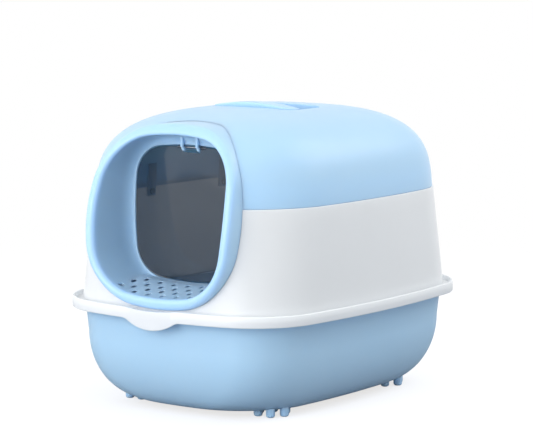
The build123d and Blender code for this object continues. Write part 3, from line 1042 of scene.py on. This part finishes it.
@dataclass
class EntranceCollar:
    """Blue entrance: rolled lip, outer tube, funnel with a slotted climbing floor, and two hinge hooks."""

    form: BoxForm
    stations: int = 288
    visor_radius: float = 0.342
    visor_centre: float = 0.091
    visor_height: float = 0.202
    lip_outer: float = 0.0055
    lip_inner: float = 0.007
    lip_thickness: float = 0.007
    tube_rear: float = -0.150
    tube_run: float = 0.030
    cavity_gap: float = 0.004
    throat_shares: tuple[float, ...] = (0.12, 0.25, 0.4, 0.55, 0.7, 0.85)
    floor_share: float = 0.4
    flare_start: float = -0.188
    flare_depth: float = 0.020
    round_steps: int = 6
    ramp_front: float = -0.239
    ramp_rise: float = 0.0114
    ramp_skin: float = 0.0012
    slot_width: float = 0.006
    slot_length: float = 0.0105
    slot_pitch: Pair = (0.023, 0.0135)
    slot_columns: int = 7
    slot_rows: int = 4
    slot_front: float = -0.232
    slot_sink: float = 0.007
    slot_cut: float = 0.022
    slot_segments: int = 20
    hook_x: float = 0.0125
    hook_half: float = 0.002
    hook_radius: float = 0.0055
    hook_lead: float = 0.002
    hook_top: float = 0.3665
    hook_round: float = 0.0012
    bead: float = 0.003
    bead_top: float = 0.2747

    def visor(self, height: float) -> float:
        """Where the lip's front is at a height."""
        return self.visor_centre - math.sqrt(self.visor_radius**2 - (height - self.visor_height)**2)

    def level_ring(self, outline: Outline, y: float = 0.0, lift: float = 0.0) -> Ring:
        """A ring that stands square across the entrance."""
        return standing(outline.ring(self.stations), y, self.form.entrance_height + lift)

    def behind_lip(self, outline: Outline, back: float, toward: float = 0.0) -> Ring:
        """A ring that follows the lip's curved front.

        Args:
            outline: The ring's outline.
            back: How far it is behind the front.
            toward: The share by which it has straightened towards the flare's start.

        Returns:
            The ring's points.
        """
        ring = self.level_ring(outline)
        for point in ring:
            y = self.visor(point.z) + back
            point.y = y + (self.flare_start - y) * toward
        return ring

    def ramp(self, x: float, y: float) -> float:
        """Height of the climbing floor at a place."""
        share = min(max((y - self.ramp_front) / (self.flare_start - self.ramp_front), 0.0), 1.0)
        return (self.form.entrance_height - self.form.lip.half_length + self.ramp_rise * share
                + x**2 / (2 * self.form.opening.end_radius))

    def floored(self, ring: Ring, drop: float = 0.0) -> Ring:
        """A ring whose lowest points are lifted onto the climbing floor.

        Args:
            ring: The ring's points.
            drop: How far below the floor they stay.

        Returns:
            The lifted points.
        """
        for point in ring:
            if point.z < self.form.entrance_height:
                point.z = max(point.z, self.ramp(point.x, point.y) - drop)
        return ring

    def flare(self, skin: float) -> list[Ring]:
        """Rings of the funnel from its straight part to the flap's opening.

        Args:
            skin: How far outside the funnel they run.

        Returns:
            The rings' points.
        """
        rings = []
        for sine, swell in quarter_turn(self.round_steps):
            outline = self.form.opening.blended(self.form.lip, swell).grown(skin)
            y = self.flare_start + (self.flare_depth + skin) * sine
            ring = self.level_ring(outline, y, self.form.opening_lift * (1.0 - swell))
            rings.append(self.floored(ring, min(skin, self.ramp_skin)))
        return rings

    def rings(self) -> list[Ring]:
        """Rings of the collar: along the outer tube, round the lip, down the funnel and back outside it.

        Returns:
            The rings' points.
        """
        form = self.form
        rings = [self.level_ring(form.collar, self.tube_rear),
                 self.level_ring(form.collar, self.tube_rear - self.tube_run),
                 self.behind_lip(form.collar, self.lip_outer)]
        turn = quarter_turn(self.round_steps)
        for sine, cosine in turn[1:]:
            rings.append(self.behind_lip(form.collar.grown(self.lip_outer * (cosine - 1.0)),
                                         self.lip_outer * (1.0 - sine)))
        for sine, cosine in turn:
            rings.append(self.behind_lip(form.lip.grown(self.lip_inner * (1.0 - sine)),
                                         self.lip_inner * (1.0 - cosine)))
        for share in self.throat_shares:
            rings.append(self.floored(self.behind_lip(form.lip, self.lip_inner, share)))
        rings += self.flare(0.0)
        rings.append(self.level_ring(form.opening, self.flare_start + self.flare_depth + form.wall, form.opening_lift))
        rings += reversed(self.flare(form.wall)[:-1])
        outside, inside = form.lip.grown(form.wall), form.collar.grown(-form.wall)
        back = self.lip_thickness + self.cavity_gap
        rings.append(self.floored(self.behind_lip(outside, back, self.floor_share), self.ramp_skin))
        rings.append(self.behind_lip(outside, back))
        rings.append(self.behind_lip(inside, back))
        rings.append(self.level_ring(inside, self.tube_rear))
        return rings

    def slot_tools(self) -> BMesh:
        """The prisms that cut the slots, in staggered rows.

        Returns:
            One mesh with all the prisms.
        """
        tools = bmesh.new()
        inset = (self.slot_length - self.slot_width) / 2
        for row in range(self.slot_rows):
            columns = self.slot_columns - row % 2
            for column in range(columns):
                x = (column - (columns - 1) / 2) * self.slot_pitch[0]
                y = self.slot_front + row * self.slot_pitch[1]
                floor = self.floor_height(x, y)
                made = bmesh.ops.create_circle(
                    tools, cap_ends=True, segments=self.slot_segments, radius=self.slot_width / 2)
                for vertex in made["verts"]:
                    vertex.co += Vector((x, y + math.copysign(inset, vertex.co.y), floor - self.slot_sink))
                Shapes.thicken(tools, [made["verts"][0].link_faces[0]], self.slot_cut)
        return tools

    def floor_height(self, x: float, y: float) -> float:
        """Height of the funnel's floor at a place."""
        edge = self.form.entrance_height - self.form.lip.facing(x, True)[0].y
        return max(edge, self.ramp(x, y))

    def build(self) -> None:
        """Builds the collar."""
        skin = Skin(*self.rings())
        skin.close()
        bm = Shapes.carve(skin.bm, self.slot_tools())
        Shapes.join(bm, self.make_bead())
        for sign in SIDES:
            self.add_hook(bm, self.hook_x * sign)
        Piece("entrance_ring", Body.COVER, Slot.BLUE, ("entrance_collar",)).publish(bm)

    def bead_section(self, low: Vector, high: Vector) -> Ring:
        """The bead's four corners at one place round the tube.

        Args:
            low: The place on the tube.
            high: The place on the bead's outer edge.

        Returns:
            The corners.
        """
        form = self.form
        corners = []
        for point, back in ((low, 0.0), (high, 0.0), (high, self.bead), (low, self.bead)):
            height = point.y + form.entrance_height
            wall = form.wall_at(height).grown(-form.wall - form.fit_gap)
            corners.append(Vector((point.x, back - wall.facing(point.x, True)[0].y, height)))
        return corners

    def make_bead(self) -> BMesh:
        """The bead on the lower part of the tube that bears on the inside of the skirt's wall.

        Returns:
            The bead's mesh.
        """
        pairs = list(zip(self.form.collar.grown(-self.form.wall / 2).ring(self.stations),
                         self.form.collar.grown(self.bead).ring(self.stations)))
        quarter = self.stations // 4
        limit = self.bead_top - self.form.entrance_height
        sections = [self.bead_section(low, high) for low, high in pairs[quarter:] + pairs[:quarter] if high.y < limit]
        skin = Skin(*sections)
        skin.cap(0, -1)
        return skin.bm

    def add_hook(self, bm: BMesh, x: float) -> None:
        """Adds a hook that carries the flap's rod.

        Args:
            bm: The collar's mesh.
            x: The hook's place across the entrance.
        """
        start, end = x - self.hook_half, x + self.hook_half
        y, height = self.form.flap_axis
        Shapes.rod(bm, self.hook_radius, Vector((start, y, height)), Vector((end, y, height)), self.hook_round,
                   SMALL_ROD_SIDES)
        Shapes.block(bm, (start, y - self.hook_radius - self.hook_lead, height), (end, y, self.hook_top),
                     self.hook_round)


@dataclass
class SwingFlap:
    """Smoked clear flap with rounded edges, a notch for the hooks and a knuckle at each side of it."""

    form: BoxForm
    stations: int = 240
    gap: float = 0.0016
    thickness: float = 0.0025
    edge_round: float = 0.0011
    notch_half: float = 0.0145
    notch_bottom: float = 0.343
    notch_cut: Pair = (0.01, 0.02)
    knuckle_end: float = 0.0230
    knuckle_radius: float = 0.0023
    knuckle_round: float = 0.0005

    def build(self) -> None:
        """Builds the flap."""
        points = self.form.opening.grown(-self.gap).ring(self.stations)
        height = self.form.entrance_height + self.form.opening_lift
        axis_y, axis_height = self.form.flap_axis
        skin = Skin(*(standing(points, axis_y + side * self.thickness / 2, height) for side in SIDES))
        skin.cap(0, 1)
        skin.soften(self.edge_round, 0, 1)
        notch = bmesh.new()
        depth, height = self.notch_cut
        Shapes.block(notch, (-self.notch_half, axis_y - depth, self.notch_bottom),
                     (self.notch_half, axis_y + depth, self.notch_bottom + height))
        bm = Shapes.carve(skin.bm, notch)
        for sign in SIDES:
            Shapes.rod(bm, self.knuckle_radius, Vector((self.notch_half * sign, axis_y, axis_height)),
                       Vector((self.knuckle_end * sign, axis_y, axis_height)), self.knuckle_round, SMALL_ROD_SIDES)
        Piece("swing_flap", Body.FLAP, Slot.SMOKE, ("flap_door",)).publish(bm)


@dataclass
class CarryHandle:
    """Blue folding bail: a broad arched grip between two arms with pivot eyes."""

    form: BoxForm
    half_length: float = 0.067
    grip_front: float = -0.040
    grip_rear: float = -0.016
    grip_corner: float = 0.0175
    thickness: float = 0.009
    top: float = 0.402
    arch: float = 0.007
    edge_round: float = 0.003
    arm: float = 0.006
    eye_radius: float = 0.006
    pin_radius: float = 0.00258
    tip_radius: float = 0.003
    bore_overrun: float = 0.01
    cuts: int = 32
    corner_segments: int = 10
    eye_segments: int = 40
    rim_turn: float = 1.2
    level_gap: float = 1e-6
    cut_merge: float = 1e-5

    def build(self) -> None:
        """Builds the handle."""
        bm = self.grip()
        for sign in SIDES:
            self.add_arm(bm, sign)
        bore = bmesh.new()
        reach = Vector((self.half_length + self.bore_overrun, 0.0, 0.0))
        axis = Vector((0.0, *self.form.bail_axis))
        Shapes.rod(bore, self.pin_radius, axis - reach, axis + reach)
        bm = Shapes.carve(bm, bore)
        Piece("carry_handle_bail", Body.HANDLE, Slot.BLUE, ("carry_handle",)).publish(bm)

    def grip(self) -> BMesh:
        """The arched grip, rounded in plan at its front corners.

        Returns:
            The grip's mesh.
        """
        bm = bmesh.new()
        made = bmesh.ops.create_grid(bm, x_segments=1, y_segments=1, size=1.0)
        middle, half = (self.grip_front + self.grip_rear) / 2, (self.grip_rear - self.grip_front) / 2
        for vertex in made["verts"]:
            vertex.co = Vector((vertex.co.x * self.half_length, middle + vertex.co.y * half,
                                self.top - self.arch - self.thickness))
        front = [vertex for vertex in made["verts"] if vertex.co.y < middle]
        Shapes.soften(bm, front, self.grip_corner, self.corner_segments, "VERTICES")
        Shapes.thicken(bm, list(bm.faces), self.thickness)
        for cut in range(1, self.cuts):
            x = self.half_length * (2.0 * cut / self.cuts - 1.0)
            bmesh.ops.bisect_plane(bm, geom=[*bm.verts, *bm.edges, *bm.faces], plane_co=(x, 0.0, 0.0),
                                   plane_no=(1.0, 0.0, 0.0), dist=self.cut_merge)
        bmesh.ops.recalc_face_normals(bm, faces=bm.faces)
        rims = [edge for edge in bm.edges if edge.calc_face_angle(0.0) > self.rim_turn
                and abs(edge.verts[0].co.z - edge.verts[1].co.z) < self.level_gap]
        Shapes.soften(bm, rims, self.edge_round, segments=4)
        for vertex in bm.verts:
            vertex.co.z += self.arch * (1.0 - (vertex.co.x / self.half_length)**2)
        return bm

    def add_arm(self, bm: BMesh, sign: float) -> None:
        """Adds the arm from a pivot eye to the grip's end.

        Args:
            bm: The handle's mesh.
            sign: -1 for the left arm, 1 for the right one.
        """
        start, end = (self.half_length - self.arm) * sign, self.half_length * sign
        tip = (self.grip_rear - self.tip_radius - self.edge_round, self.top - self.arch - self.thickness / 2)
        made = []
        for (y, z), radius in ((self.form.bail_axis, self.eye_radius), (tip, self.tip_radius)):
            turn = Matrix.Translation(((start + end) / 2, y, z)) @ Matrix.Rotation(math.pi / 2, 4, "Y")
            made += bmesh.ops.create_cone(bm, cap_ends=True, segments=self.eye_segments, radius1=radius,
                                          radius2=radius, depth=self.arm, matrix=turn)["verts"]
        bmesh.ops.delete(bm, geom=Shapes.edges_at(made), context="EDGES_FACES")
        hull = bmesh.ops.convex_hull(bm, input=made, use_existing_faces=False)
        bmesh.ops.delete(bm, geom=Shapes.corners(hull, "geom_interior"), context="VERTS")


@dataclass(frozen=True)
class SoftBox:
    """A square area lamp that faces a point."""

    name: str
    place: Triple
    aim: Triple
    size: float
    watts: float

    def build(self) -> None:
        """Hangs the lamp."""
        lamp = bpy.data.lights.new(self.name, "AREA")
        lamp.size = self.size
        lamp.energy = self.watts
        holder = show(self.name, lamp)
        holder.location = self.place
        holder.rotation_euler = (Vector(self.aim) - Vector(self.place)).to_track_quat("-Z", "Y").to_euler()


@dataclass
class Studio:
    """Floor, background, lamps and camera."""

    azimuth: float = 35.9
    look_down: float = 6.85
    camera_place: Triple = (2.0344, -2.8102, 0.6603)
    lens: float = 171.73
    sensor: float = 36.0
    view_reach: float = 50.0
    ambient: float = 0.9
    floor_radius: float = 1.6
    floor_clear: float = 0.55
    floor_lift: float = 0.74
    floor_sides: int = 96
    floor_roughness: float = 0.9
    floor_tone: Triple = (0.32, 0.33, 0.35)
    floor_glow: Triple = (1.0, 0.99, 0.975)
    sky_tone: Triple = (0.95, 0.98, 1.0)
    lamps: tuple[SoftBox, ...] = (
        SoftBox("front_box", (-0.2, -3.0, 0.9), (0.0, 0.0, 0.22), 2.2, 50.0),
        SoftBox("front_left_box", (-1.9, -2.4, 0.7), (0.0, 0.0, 0.22), 1.6, 10.0),
        SoftBox("rear_right_box", (1.8, 2.0, 2.6), (0.0, 0.0, 0.25), 2.6, 44.0))

    def build(self) -> None:
        """Builds the whole studio."""
        self.build_world()
        self.build_floor()
        for lamp in self.lamps:
            lamp.build()
        self.build_camera()
        bpy.context.scene.view_settings.view_transform = "Standard"

    def build_world(self) -> None:
        """A white background for camera, mirror and see-through rays, and a calmer ambient light for the rest."""
        world = bpy.data.worlds.new("white_studio")
        bpy.context.scene.world = world
        world.use_nodes = True
        world.node_tree.nodes.clear()
        wiring = Wiring(world.node_tree)
        path = wiring.add("LightPath").outputs
        seen = wiring.math("MAXIMUM", path["Is Camera Ray"], path["Is Glossy Ray"])
        seen = wiring.math("MAXIMUM", seen.outputs[0], path["Is Transmission Ray"])
        light = wiring.add("Background", Color=(*self.sky_tone, 1.0), Strength=self.ambient)
        white = wiring.add("Background", Color=(1.0, 1.0, 1.0, 1.0), Strength=1.0)
        mix = wiring.add("MixShader")
        wiring.wire((seen, 0, mix, "Fac"), (light, 0, mix, 1), (white, 0, mix, 2),
                    (mix, 0, wiring.add("OutputWorld"), "Surface"))

    def build_floor(self) -> None:
        """A round pale floor that fades into the background away from the box."""
        bm = bmesh.new()
        bmesh.ops.create_circle(bm, cap_ends=True, segments=self.floor_sides, radius=self.floor_radius)
        mesh = Shapes.to_mesh(bm, "studio_floor")
        floor = show("studio_floor", mesh)
        material = bpy.data.materials.new("pale_floor")
        material.use_nodes = True
        nodes = material.node_tree.nodes
        shader = nodes["Principled BSDF"]
        wiring = Wiring(material.node_tree)
        wiring.fill(shader, Base_Color=(*self.floor_tone, 1.0), Roughness=self.floor_roughness,
                    Specular_IOR_Level=0.0, Emission_Color=(*self.floor_glow, 1.0))
        lift = wiring.math("MULTIPLY", wiring.add("LightPath").outputs["Is Camera Ray"], self.floor_lift)
        length = wiring.add("VectorMath")
        length.operation = "LENGTH"
        fade = wiring.spread(length.outputs["Value"], (self.floor_clear, self.floor_radius), (0.0, 1.0))
        fade.interpolation_type = "SMOOTHSTEP"
        mix = wiring.add("MixShader")
        wiring.wire((lift, 0, shader, "Emission Strength"), (wiring.add("TexCoord"), "Object", length, 0),
                    (fade, "Result", mix, "Fac"), (shader, 0, mix, 1), (wiring.add("BsdfTransparent"), 0, mix, 2),
                    (mix, 0, nodes["Material Output"], "Surface"))
        mesh.materials.append(material)

    def build_camera(self) -> None:
        """The camera at the photograph's place."""
        camera = bpy.data.cameras.new("photo_camera")
        camera.lens = self.lens
        camera.sensor_width = self.sensor
        camera.clip_end = self.view_reach
        holder = show("photo_camera", camera)
        holder.location = self.camera_place
        holder.rotation_euler = (math.radians(90.0 - self.look_down), 0.0, math.radians(self.azimuth))
        bpy.context.scene.camera = holder


def dress_cad_nodes() -> None:
    """Gives every shown CAD node its material."""
    slots = {part["node"]: Slot(part["material_slot"]) for part in frame["record"]["subparts"]}
    for name, node in frame["nodes"].items():
        if not node.hide_render:
            node.data.materials.clear()
            node.data.materials.append(FINISHES[slots[name]].material())
            log.info("dressed CAD node %s", name)


def main() -> None:
    """Builds every sub-assembly and the studio."""
    logging.basicConfig(level=logging.INFO, format="%(name)s: %(message)s")
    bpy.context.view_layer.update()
    form = BoxForm()
    for assembly in (LitterPan, CoverSkirt, DomedHood, EntranceCollar, SwingFlap, CarryHandle):
        assembly(form).build()
    dress_cad_nodes()
    Studio().build()


if __name__ == "__main__":
    main()
